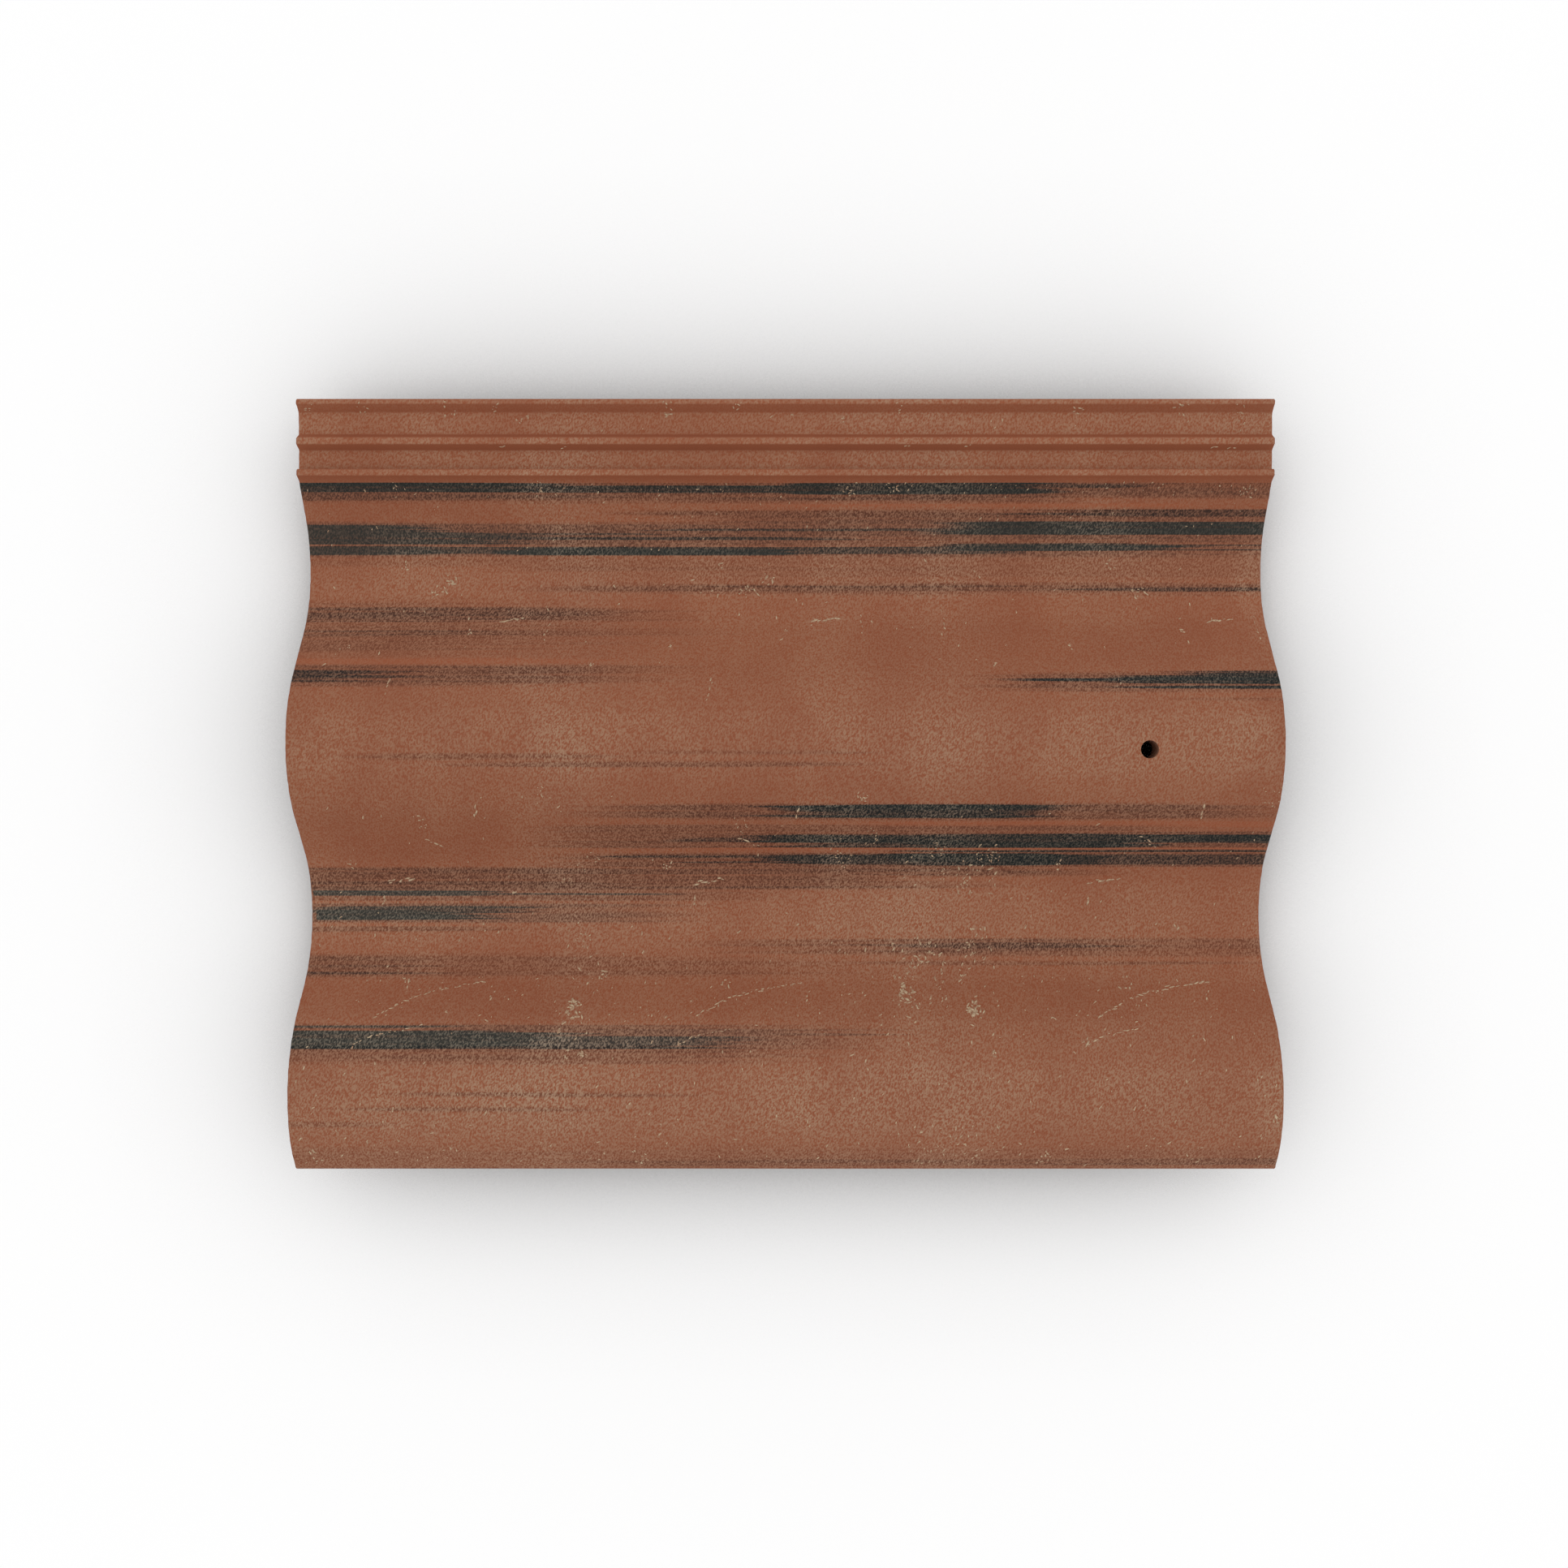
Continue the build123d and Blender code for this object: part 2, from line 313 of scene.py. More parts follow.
STROKES: tuple[Stroke, ...] = (
    # At the foot of the inner rib.
    charcoal(126.7, 130.3, TAIL, -118, 1, 40, 1.0, 0.4, 0.1),
    charcoal(126.5, 129.3, -150, 20, 30, 30, 1.0, 0.4, 0.3),
    charcoal(125.6, 130.3, 10, 95, 20, 45, 1.0, 0.5, 0.1),
    charcoal(128.2, 129.8, 90, 140, 20, 50, 0.8, 0.3, 0.2),
    haze(124.6, 130.3, 100, HEAD, 30, 1, 1.0, 1.2, 0.2),
    haze(123.0, 127.2, TAIL, 110, 1, 40, 1.25, 2.0, 0.5),
    haze(129.0, 130.3, -110, 0, 10, 10, 0.8, 0.3, 0.1),
    clean(120.8, 122.2, 10, 150, 40, 60, 0.6, 0.5, 0.5),
    # The pair on the slope up to the underlock.
    charcoal(116.9, 119.8, 140, HEAD, 90, 1, 0.75, 0.6, 0.4),
    haze(117.0, 119.8, -40, 150, 50, 20, 0.9, 0.8, 0.5),
    charcoal(109.5, 115.2, 98, HEAD, 60, 1, 1.0, 0.4, 0.6),
    charcoal(111.3, 112.4, -30, 90, 60, 20, 0.85, 0.15, 0.15),
    haze(106.5, 119.5, 10, HEAD, 90, 1, 1.05, 2.0, 1.4),
    charcoal(105.6, 113.9, TAIL, -190, 1, 75, 0.95, 0.3, 0.9),
    charcoal(105.6, 110.8, TAIL, -165, 1, 100, 0.95, 0.3, 0.6),
    charcoal(107.6, 108.8, -140, 10, 40, 60, 0.95, 0.15, 0.15),
    charcoal(109.6, 110.5, -140, -80, 40, 60, 0.8, 0.15, 0.15),
    haze(104.8, 114.5, TAIL, -20, 1, 120, 1.1, 1.2, 1.6),
    charcoal(101.1, 105.2, TAIL, -165, 1, 40, 0.95, 0.6, 0.3),
    charcoal(100.8, 104.6, -105, -8, 50, 30, 1.0, 0.6, 0.4),
    charcoal(101.6, 104.8, TAIL, 90, 1, 40, 0.85, 0.8, 0.4),
    charcoal(102.8, 106.2, 78, 155, 30, 50, 1.0, 0.4, 0.4),
    charcoal(105.0, 105.7, 130, HEAD, 20, 1, 0.9, 0.2, 0.2),
    charcoal(103.0, 103.7, 130, HEAD, 20, 1, 0.85, 0.2, 0.2),
    haze(100.2, 107.4, TAIL, HEAD, 1, 1, 0.85, 1.2, 1.2),
    haze(93.6, 97.4, -90, 70, 60, 60, 0.45, 2.0, 2.0),
    haze(89.5, 100.5, -40, HEAD, 90, 1, 0.32, 3.0, 2.0),
    haze(96.5, 101.0, TAIL, -60, 1, 60, 0.32, 1.5, 0.8),
    haze(84.0, 88.8, -50, HEAD, 90, 1, 0.92, 2.0, 1.2),
    charcoal(86.7, 87.9, -20, 90, 60, 60, 0.5, 0.4, 0.3),
    charcoal(84.9, 86.8, 150, HEAD, 60, 1, 0.7, 0.6, 0.5),
    # On the last pan's other side and the inner roll.
    haze(57.0, 80.0, TAIL, -160, 1, 120, 0.68, 4.0, 3.5),
    haze(70.3, 78.2, TAIL, -130, 1, 110, 1.38, 2.4, 2.2),
    charcoal(74.2, 75.6, TAIL, -150, 1, 60, 0.55, 0.7, 0.7),
    charcoal(70.9, 72.0, -190, -120, 20, 60, 0.4, 0.5, 0.5),
    haze(64.6, 68.0, TAIL, -120, 1, 120, 1.35, 2.0, 1.6),
    haze(59.6, 61.4, TAIL, -150, 1, 60, 0.6, 1.0, 1.0),
    charcoal(44.0, 49.6, TAIL, -200, 1, 80, 0.85, 1.4, 0.8),
    haze(42.6, 51.4, TAIL, -130, 1, 100, 1.0, 1.8, 0.6),
    haze(50.0, 51.4, TAIL, -80, 1, 60, 0.8, 0.4, 0.3),
    clean(52.2, 54.4, TAIL, -110, 1, 60, 0.5, 0.6, 0.6),
    charcoal(43.0, 48.6, 185, HEAD, 45, 1, 1.0, 0.4, 1.2),
    charcoal(43.2, 47.0, 150, HEAD, 35, 1, 1.0, 0.4, 0.8),
    charcoal(44.0, 45.6, 112, 170, 38, 20, 1.0, 0.3, 0.4),
    charcoal(40.7, 42.3, 165, HEAD, 50, 1, 1.0, 0.5, 0.3),
    haze(40.0, 47.8, 120, HEAD, 50, 1, 0.9, 1.2, 1.2),
    haze(36.0, 37.2, 180, HEAD, 30, 1, 0.5, 0.6, 0.6),
    haze(11.0, 13.6, -160, -90, 40, 40, 0.55, 1.0, 1.0),
    haze(7.8, 10.4, -110, 0, 50, 50, 0.65, 0.8, 0.8),
    haze(13.0, 15.0, -50, 20, 30, 30, 0.4, 0.7, 0.7),
    # Below the inner roll, the long dark pair.
    charcoal(-14.1, -8.0, 35, 90, 70, 60, 1.0, 0.4, 0.5),
    charcoal(-11.6, -8.4, 15, 98, 50, 45, 1.0, 0.4, 0.4),
    charcoal(-14.0, -12.4, 12, 98, 50, 40, 0.9, 0.3, 0.3),
    charcoal(-11.4, -10.0, 110, 150, 30, 50, 0.45, 0.4, 0.4),
    haze(-14.6, -7.8, -40, 165, 60, 60, 1.0, 0.9, 0.9),
    clean(-18.0, -15.6, 60, HEAD, 60, 1, 0.6, 0.6, 0.6),
    haze(-20.8, -17.0, -70, 130, 50, 60, 0.8, 0.7, 0.9),
    charcoal(-27.4, -21.0, 65, 140, 40, 30, 1.0, 0.4, 0.5),
    charcoal(-25.4, -21.3, 5, HEAD, 60, 1, 1.0, 0.4, 0.4),
    charcoal(-24.8, -22.6, -40, 0, 40, 20, 0.75, 0.6, 0.6),
    charcoal(-27.3, -25.2, 20, 155, 60, 20, 0.9, 0.3, 0.5),
    haze(-27.4, -20.0, -70, HEAD, 60, 1, 1.0, 0.6, 0.8),
    clean(-28.0, -27.3, -20, 200, 40, 30, 0.9, 0.2, 0.2),
    charcoal(-29.5, -28.4, 60, HEAD, 40, 1, 0.9, 0.3, 0.3),
    charcoal(-35.6, -29.9, 60, 110, 40, 30, 1.0, 0.4, 0.5),
    charcoal(-35.4, -30.6, 15, 120, 50, 50, 0.95, 0.4, 0.5),
    charcoal(-35.3, -30.4, 110, HEAD, 40, 1, 0.8, 0.6, 0.6),
    charcoal(-31.9, -30.9, -70, 10, 30, 20, 0.8, 0.3, 0.3),
    charcoal(-34.5, -33.5, -40, 10, 30, 20, 0.8, 0.3, 0.3),
    clean(-33.3, -32.8, -30, 50, 30, 30, 1.0, 0.2, 0.2),
    haze(-36.4, -29.8, -60, HEAD, 60, 1, 1.0, 0.6, 0.6),
    haze(-40.2, -36.6, TAIL, 90, 1, 80, 1.15, 1.2, 1.0),
    haze(-42.6, -39.8, TAIL, 20, 1, 60, 1.0, 0.9, 0.9),
    haze(-46.8, -42.0, TAIL, 10, 1, 110, 1.25, 1.2, 1.0),
    # In the middle pan.
    charcoal(-49.3, -46.9, -208.6, -145, 1, 50, 1.0, 0.3, 0.3),
    charcoal(-49.0, -48.0, -160, -70, 20, 50, 0.85, 0.15, 0.15),
    haze(-51.5, -46.0, TAIL, -60, 1, 80, 0.75, 0.8, 0.6),
    charcoal(-60.2, -55.4, -207.5, -165, 1, 70, 1.0, 0.4, 0.6),
    charcoal(-57.4, -53.8, -200, -140, 20, 80, 0.9, 0.5, 0.6),
    haze(-61.5, -52.8, TAIL, -90, 1, 70, 0.9, 0.8, 0.6),
    haze(-65.4, -63.0, TAIL, -150, 1, 50, 0.7, 0.7, 0.7),
    charcoal(-73.2, -69.6, 70, 120, 70, 60, 0.62, 0.9, 0.7),
    charcoal(-74.6, -72.8, 60, 90, 50, 60, 0.42, 0.5, 0.5),
    haze(-75.2, -68.4, 50, 140, 70, 60, 0.95, 2.0, 1.2),
    haze(-75.2, -68.4, 20, HEAD, 90, 40, 0.65, 2.0, 1.4),
    charcoal(-80.8, -79.2, TAIL, -180, 1, 70, 0.5, 0.7, 0.7),
    charcoal(-83.3, -81.6, TAIL, -185, 1, 80, 0.65, 0.8, 0.8),
    haze(-84.2, -75.2, TAIL, -190, 1, 80, 0.9, 1.4, 1.8),
    haze(-84.2, -75.2, TAIL, -60, 1, 130, 0.55, 1.4, 2.0),
    haze(-79.4, -77.6, 60, 170, 60, 60, 0.6, 0.8, 0.8),
    # Beside the roll at the overlock.
    charcoal(-111.5, -104.4, TAIL, -135, 1, 90, 1.0, 0.2, 0.6),
    charcoal(-111.6, -110.6, TAIL, -60, 1, 70, 0.95, 0.15, 0.2),
    charcoal(-107.3, -106.5, -150, -40, 40, 60, 0.8, 0.2, 0.2),
    charcoal(-103.5, -102.5, TAIL, -160, 1, 50, 0.9, 0.3, 0.3),
    charcoal(-111.3, -106.2, -130, -70, 20, 100, 0.88, 0.3, 1.0),
    charcoal(-106.8, -105.2, -60, 20, 30, 50, 0.38, 0.5, 0.5),
    clean(-104.3, -103.7, TAIL, -150, 1, 50, 0.8, 0.2, 0.2),
    haze(-112.0, -102.3, TAIL, -50, 1, 120, 1.0, 0.6, 1.2),
    haze(-117.2, -111.4, TAIL, -40, 1, 70, 0.75, 2.2, 0.5),
    haze(-130.9, -128.8, -140, -60, 40, 40, 0.6, 1.0, 1.0),
    haze(-137.2, -135.0, -170, -100, 30, 40, 0.6, 1.0, 1.0),
    haze(-144.0, -142.0, TAIL, -180, 1, 30, 0.55, 1.0, 1.0),
    haze(-162.8, -158.8, -60, HEAD, 90, 1, 0.85, 1.0, 1.4),
    haze(-165.5, -154.0, TAIL, HEAD, 1, 1, 0.32, 0.5, 3.5),
    charcoal(-165.5, -164.2, TAIL, -130, 1, 40, 0.6, 0.1, 0.3),
    # The dust on the charcoal.
    veil(125.0, 131.0, TAIL, HEAD, 1, 1, 0.35, 1.0, 0.1),
    veil(100.0, 115.5, TAIL, -120, 1, 60, 0.6, 1.0, 1.0),
    veil(99.5, 116.5, -60, HEAD, 60, 1, 0.5, 1.0, 1.0),
    veil(-50.0, -46.0, TAIL, -60, 1, 80, 1.0, 1.0, 1.0),
    veil(-61.5, -52.5, TAIL, -90, 1, 60, 0.75, 1.0, 1.0),
    veil(-110.4, -101.5, TAIL, 0, 1, 60, 0.75, 0.3, 1.0),
)


@dataclass(frozen=True)
class StrokeGroup:
    """The node group of one brush stroke, whose ends and edges break up into thin lines."""

    name: str = "brush_stroke"
    break_up: float = 0.65
    inside_loss: float = 0.10
    loss_span: Span = (0.35, 0.9)

    def build(self) -> bpy.types.NodeTree:
        """Draws the group.

        Returns:
            The group.
        """
        names = ["Along", "Across", "Fibre", "Low", "High", "Low Feather", "High Feather"]
        names += ["Start", "Fade In", "End", "Fade Out", "Depth"]
        sheet, given, result = new_group(self.name, names, ["Mark"])
        across = given["Across"]
        low_foot = sheet.math("SUBTRACT", given["Low"], given["Low Feather"])
        low_full = sheet.math("ADD", given["Low"], given["Low Feather"])
        high_full = sheet.math("SUBTRACT", given["High"], given["High Feather"])
        high_foot = sheet.math("ADD", given["High"], given["High Feather"])
        rise = sheet.step(across, low_foot, low_full)
        fall = sheet.step(across, high_full, high_foot, 1.0, 0.0)
        start_foot = sheet.math("SUBTRACT", given["Start"], given["Fade In"])
        end_foot = sheet.math("ADD", given["End"], given["Fade Out"])
        enter = sheet.step(given["Along"], start_foot, given["Start"])
        leave = sheet.step(given["Along"], given["End"], end_foot, 1.0, 0.0)
        width, length = sheet.math("MULTIPLY", rise, fall), sheet.math("MULTIPLY", enter, leave)
        gain = sheet.math("MULTIPLY", sheet.math("MULTIPLY", width, length), 1.0 + self.break_up)
        broken = sheet.math("SUBTRACT", gain, sheet.math("MULTIPLY", given["Fibre"], self.break_up))
        mark = sheet.step(broken, 0.0, 1.0)
        left = sheet.step(given["Fibre"], *self.loss_span, 1.0, 1.0 - self.inside_loss)
        deep = sheet.math("MULTIPLY", mark, sheet.math("MULTIPLY", given["Depth"], left))
        sheet.feed(result.inputs["Mark"], deep)
        return sheet.tree


@dataclass(frozen=True)
class StreakGroup:
    """The node group of all the strokes, with one mask for each kind of stain.

    The drift is how far the whole pattern lies towards the overlock, and the sway how far it wanders
    there. The spill is how far a stroke's fades run on at both of their ends, as a share of their
    length, and the softness widens its edges.
    """

    fibre_scale: Triple = (1 / 160.0, 1 / 1.1, 0.02)
    fibre_span: Span = (0.28, 0.72)
    drift: float = 0.6
    sway: float = 0.5
    sway_scale: Triple = (0.012, 0.012, 0.012)
    spill: float = 0.35
    softness: float = 1.6

    def build(self) -> bpy.types.NodeTree:
        """Draws the group.

        Returns:
            The group.
        """
        outputs = [stain.value.title() for stain in Stain]
        sheet, given, result = new_group("tile_streaks", ["Place"], outputs)
        sharp_group = StrokeGroup().build()
        soft_group = StrokeGroup("soft_stroke", break_up=0.3, inside_loss=0.4).build()
        fibre = sheet.noise(sheet.stretch(given["Place"], self.fibre_scale), detail=3.0, roughness=0.6)
        fibre = sheet.step(fibre, *self.fibre_span)
        wander = sheet.noise(sheet.stretch(given["Place"], self.sway_scale, shift=7.0), detail=1.0)
        place = sheet.axes(given["Place"])
        shift = sheet.math("MULTIPLY_ADD", wander, self.sway, self.drift - self.sway / 2)
        across = sheet.math("ADD", place["Y"], shift)
        masks: dict[Stain, Optional[Socket]] = {stain: None for stain in Stain}
        for stroke in STROKES:
            mark = sheet.use(
                soft_group if stroke.stain in (Stain.HAZE, Stain.VEIL) else sharp_group,
                Along=place["X"],
                Across=across,
                Fibre=fibre,
                Low=stroke.low,
                High=stroke.high,
                Low_Feather=stroke.low_feather * self.softness,
                High_Feather=stroke.high_feather * self.softness,
                Start=stroke.start + stroke.fade_in * self.spill,
                Fade_In=stroke.fade_in * (1 + 2 * self.spill),
                End=stroke.end - stroke.fade_out * self.spill,
                Fade_Out=stroke.fade_out * (1 + 2 * self.spill),
                Depth=stroke.depth,
            ).outputs["Mark"]
            before = masks[stroke.stain]
            masks[stroke.stain] = mark if before is None else sheet.math("MAXIMUM", before, mark)
        for stain, mask in masks.items():
            sheet.feed(result.inputs[stain.value.title()], mask)
        return sheet.tree


@dataclass(frozen=True)
class Wash:
    """A soft band across the tile where the bloom lies thicker."""

    middle: float
    reach: float
    weight: float


WASHES: tuple[Wash, ...] = (
    Wash(-152, 26, 0.15),
    Wash(-95, 30, 0.42),
    Wash(28, 24, 0.22),
    Wash(63, 34, 0.42),
    Wash(147, 22, 0.16),
    Wash(208, 20, 0.30),
)


@dataclass(frozen=True)
class BloomGroup:
    """The node group of the pale bloom: worm-like specks of lime, thicker in soft clouds."""

    speck_size: float = 0.62
    speck_shape: Triple = (1.0, 0.55, 0.62)
    lean: float = 22.0
    cloud_size: float = 38.0
    cloud_shape: Triple = (1.0, 0.75, 0.75)
    cloud_span: Span = (0.30, 0.70)
    cloud_gain: float = 0.5
    waver: float = 12.0
    edge_roll: Span = (-115.0, -68.0)
    edge_roll_gain: float = 0.24
    underlock: Span = (30.0, 60.0)
    underlock_loss: float = 0.16
    grit_scale: float = 2.4

    def build(self) -> bpy.types.NodeTree:
        """Draws the group.

        Returns:
            The group.
        """
        sheet, given, result = new_group("lime_bloom", ["Place"], ["Specks", "Thickness", "Clouds", "Grit"])
        place = sheet.axes(given["Place"])
        turned = sheet.stretch(given["Place"], (1.0, 1.0, 1.0), turn=self.lean)
        leaning = sheet.stretch(turned, self.speck_shape)
        specks = sheet.noise(leaning, 1 / self.speck_size, detail=1.0, distortion=0.4)
        drawn_out = sheet.stretch(given["Place"], self.cloud_shape, shift=11.0)
        clouds = sheet.step(sheet.noise(drawn_out, 1 / self.cloud_size, detail=3.0), *self.cloud_span)
        # The bands waver a little, and the bloom is thicker towards the overlock than the underlock.
        along = sheet.math("ADD", place["X"], sheet.math("MULTIPLY_ADD", clouds, 2 * self.waver, -self.waver))
        thick = sheet.math("MULTIPLY_ADD", clouds, self.cloud_gain, 1.0 - self.cloud_gain / 2)
        for wash in WASHES:
            off = sheet.math("ABSOLUTE", sheet.math("SUBTRACT", along, wash.middle))
            thick = sheet.math("ADD", thick, sheet.step(off, 0.0, wash.reach, wash.weight, 0.0))
        gain = sheet.step(place["Y"], *self.edge_roll, self.edge_roll_gain, 0.0)
        loss = sheet.step(place["Y"], *self.underlock, 0.0, -self.underlock_loss)
        thick = sheet.math("ADD", thick, sheet.math("ADD", gain, loss))
        grit = sheet.noise(given["Place"], self.grit_scale, roughness=0.6)
        for name, socket in zip(("Specks", "Thickness", "Clouds", "Grit"), (specks, thick, clouds, grit)):
            sheet.feed(result.inputs[name], socket)
        return sheet.tree


# Finishes


@dataclass(frozen=True)
class RoughFinish:
    """A dull surface with a fine relief, which both finishes have."""

    name: str
    specular_level: float = 0.15
    relief_strength: float = 0.35
    relief_depth: float = 0.35
    roughness: Span = (0.78, 0.95)

    def coat(self, sheet: Sheet, colour: Socket, relief: Socket, grain: Socket) -> None:
        """Ends the material in its shader.

        Args:
            sheet: The sheet to draw on.
            colour: The base colour.
            relief: The height of the relief.
            grain: What the roughness follows.
        """
        bump = sheet.node("ShaderNodeBump")
        bump.inputs["Strength"].default_value = self.relief_strength
        bump.inputs["Distance"].default_value = self.relief_depth * MM
        sheet.feed(bump.inputs["Height"], relief)
        shader = sheet.node("ShaderNodeBsdfPrincipled")
        shader.inputs["Specular IOR Level"].default_value = self.specular_level
        sheet.feed(shader.inputs["Base Color"], colour)
        sheet.feed(shader.inputs["Roughness"], sheet.step(grain, 0.3, 0.7, *self.roughness))
        sheet.feed(shader.inputs["Normal"], bump.outputs["Normal"])
        sheet.end_in(shader)


@dataclass(frozen=True)
class ConcreteFinish(RoughFinish):
    """Red through-coloured concrete, streaked with charcoal and dulled by a pale bloom.

    The spans of upward, endward, sloping and lying say how far a face looks up, or along the tile,
    where each sort of face begins and where it is full.
    """

    name: str = "streaked_concrete"
    upward: Span = (0.15, 0.30)
    endward: Span = (0.55, 0.85)
    sloping: Span = (0.48, 0.85)
    lying: Span = (0.92, 1.0)
    lock_edge: Span = (130.4, 131.2)
    # Painted light: the heights over which the colour is lightened towards the low parts.
    painted_light_heights: Span = (20.0, 60.0)
    ground: Colour = (0.258, 0.081, 0.038)
    deep_ground: Colour = (0.243, 0.075, 0.036)
    fresh_ground: Colour = (0.300, 0.088, 0.040)
    bloom: Colour = (0.375, 0.243, 0.158)
    charcoal: Colour = (0.0112, 0.0145, 0.0143)
    dust: Colour = (0.37, 0.31, 0.235)
    cut_face: Colour = (0.215, 0.090, 0.052)
    cast_face: Colour = (0.255, 0.128, 0.085)
    damp_face: Colour = (0.172, 0.074, 0.045)
    pore: Colour = (0.105, 0.045, 0.028)
    bloom_share: float = 0.23
    haze_share: float = 0.42
    grain_contrast: float = 0.45
    speck_dust: float = 0.19
    veil_dust: float = 0.08
    clean_loss: float = 0.5
    flank_bloom: float = 0.02
    slope_bloom: float = 0.72
    # Painted light: how much lighter the colour is made low down and in the lock.
    painted_light_low_gain: float = 0.08
    painted_light_lock_gain: float = 0.03
    drag_share: float = 0.10
    mottle_share: float = 0.5
    cloud_share: float = 0.3
    pore_share: float = 0.6
    grain_share: float = 0.3
    cut_grain_share: float = 0.35
    relief_shares: Span = (0.7, 0.5)

    def broken_by(self, sheet: Sheet, level: Socket, grain: Socket) -> Socket:
        """Breaks a soft level up into grains, most where it is half full, and keeps its mean.

        Args:
            sheet: The sheet to draw on.
            level: The level, from 0 to 1.
            grain: The grains, from 0 to 1.

        Returns:
            The broken level.
        """
        room = sheet.math("MULTIPLY", level, sheet.math("SUBTRACT", 1.0, level))
        push = sheet.math("MULTIPLY_ADD", grain, -4.0 * self.grain_contrast, 2.0 * self.grain_contrast)
        return sheet.math("MAXIMUM", sheet.math("MULTIPLY_ADD", room, push, level), 0.0)

    def weathered(
        self, sheet: Sheet, place: Socket, flatness: Socket, upward: Socket, bloom: dict[str, Socket]
    ) -> Socket:
        """Draws the colour of what faces up, with painted light that lightens the low parts and the lock.

        Args:
            sheet: The sheet to draw on.
            place: The place on the tile, in millimetres.
            flatness: How far up a face looks, from 0 to 1.
            upward: Where the weathered face is.
            bloom: What the bloom's group gives.

        Returns:
            The colour.
        """
        where = sheet.axes(place)
        streaks = sheet.use(StreakGroup().build(), Place=place).outputs
        specks = sheet.step(bloom["Specks"], 0.32, 0.68)
        # The bloom is thin on the flanks, and full only where the face lies flat.
        sloping = sheet.step(flatness, *self.sloping, self.flank_bloom, self.slope_bloom)
        lying = sheet.math("ADD", sloping, sheet.step(flatness, *self.lying, 0.0, 1.0 - self.slope_bloom))
        ground = sheet.mix(bloom["Clouds"], self.deep_ground, self.ground)
        fresh = sheet.mix(streaks["Clean"], ground, self.fresh_ground)
        cover = sheet.math("MULTIPLY", specks, bloom["Thickness"])
        share = sheet.math("MULTIPLY", sheet.math("MULTIPLY", cover, 2 * self.bloom_share), lying)
        left = sheet.math("MULTIPLY_ADD", streaks["Clean"], -self.clean_loss, 1.0)
        coated = sheet.mix(sheet.math("MULTIPLY", share, left), fresh, self.bloom)
        # The charcoal lies over the bloom, with dust on it in specks and as a veil on some streaks.
        hazed = sheet.math("MULTIPLY", streaks["Haze"], self.haze_share)
        level = sheet.math("MULTIPLY", sheet.math("MAXIMUM", streaks["Charcoal"], hazed), upward)
        dusted = sheet.math("MULTIPLY", sheet.math("MULTIPLY", cover, cover), self.speck_dust)
        dusted = sheet.math("MULTIPLY_ADD", streaks["Veil"], self.veil_dust, dusted)
        sooty = sheet.mix(dusted, self.charcoal, self.dust)
        painted = sheet.mix(self.broken_by(sheet, level, specks), coated, sooty)
        # Painted light: the colour is made a little lighter low down and in the lock, to lift the shade in
        # these hollows.
        painted_light_gain = sheet.step(where["Z"], *self.painted_light_heights, 1.0 + self.painted_light_low_gain, 1.0)
        in_lock = sheet.step(where["Y"], *self.lock_edge)
        painted_light_gain = sheet.math("MULTIPLY", painted_light_gain, sheet.math("MULTIPLY_ADD", in_lock, self.painted_light_lock_gain, 1.0))
        painted_light_colour = sheet.node("ShaderNodeVectorMath", operation="SCALE")
        sheet.feed(painted_light_colour.inputs["Vector"], painted)
        sheet.feed(painted_light_colour.inputs["Scale"], painted_light_gain)
        return painted_light_colour.outputs["Vector"]

    def cast(self, sheet: Sheet, place: Socket, bloom: dict[str, Socket]) -> Socket:
        """Draws the mould's side: mottled with damp, with coarse grains, pores and faint drag lines.

        Args:
            sheet: The sheet to draw on.
            place: The place on the tile, in millimetres.
            bloom: What the bloom's group gives.

        Returns:
            The colour.
        """
        lines = sheet.noise(sheet.stretch(place, (0.02, 0.5, 0.5)))
        mottle = sheet.noise(sheet.stretch(place, (0.12, 0.16, 0.16), shift=3.0), detail=5.0, roughness=0.7)
        dragged = sheet.step(lines, 0.35, 0.65, 0.0, self.drag_share)
        damp = sheet.math("ADD", dragged, sheet.step(mottle, 0.38, 0.62, 0.0, self.mottle_share))
        damp = sheet.math("MULTIPLY_ADD", bloom["Clouds"], self.cloud_share, damp)
        cast = sheet.mix(damp, self.cast_face, self.damp_face)
        coarse = sheet.noise(place, 0.75)
        cast = sheet.mix(sheet.step(coarse, 0.62, 0.72, 0.0, self.pore_share), cast, self.pore)
        return sheet.mix(sheet.step(coarse, 0.38, 0.28, 0.0, self.grain_share), cast, self.bloom)

    def build(self) -> bpy.types.Material:
        """Draws the material. What looks up is weathered, what looks along is cut, the rest is cast.

        Returns:
            The material.
        """
        material, sheet = new_material(self.name)
        coordinates = sheet.node("ShaderNodeTexCoord").outputs
        place = sheet.stretch(coordinates["Object"], (1 / MM, 1 / MM, 1 / MM))
        facing = sheet.axes(coordinates["Normal"])
        bloom = dict(sheet.use(BloomGroup().build(), Place=place).outputs.items())
        upward = sheet.step(facing["Z"], *self.upward)
        endward = sheet.step(sheet.math("ABSOLUTE", facing["X"]), *self.endward)
        grains = sheet.step(bloom["Grit"], 0.35, 0.65, 0.0, self.cut_grain_share)
        cut = sheet.mix(grains, self.cut_face, self.bloom)
        plain = sheet.mix(endward, self.cast(sheet, place, bloom), cut)
        colour = sheet.mix(upward, plain, self.weathered(sheet, place, facing["Z"], upward, bloom))
        of_specks, of_grit = self.relief_shares
        relief = sheet.math("MULTIPLY", bloom["Grit"], of_grit)
        relief = sheet.math("MULTIPLY_ADD", bloom["Specks"], of_specks, relief)
        self.coat(sheet, colour, relief, bloom["Grit"])
        return material


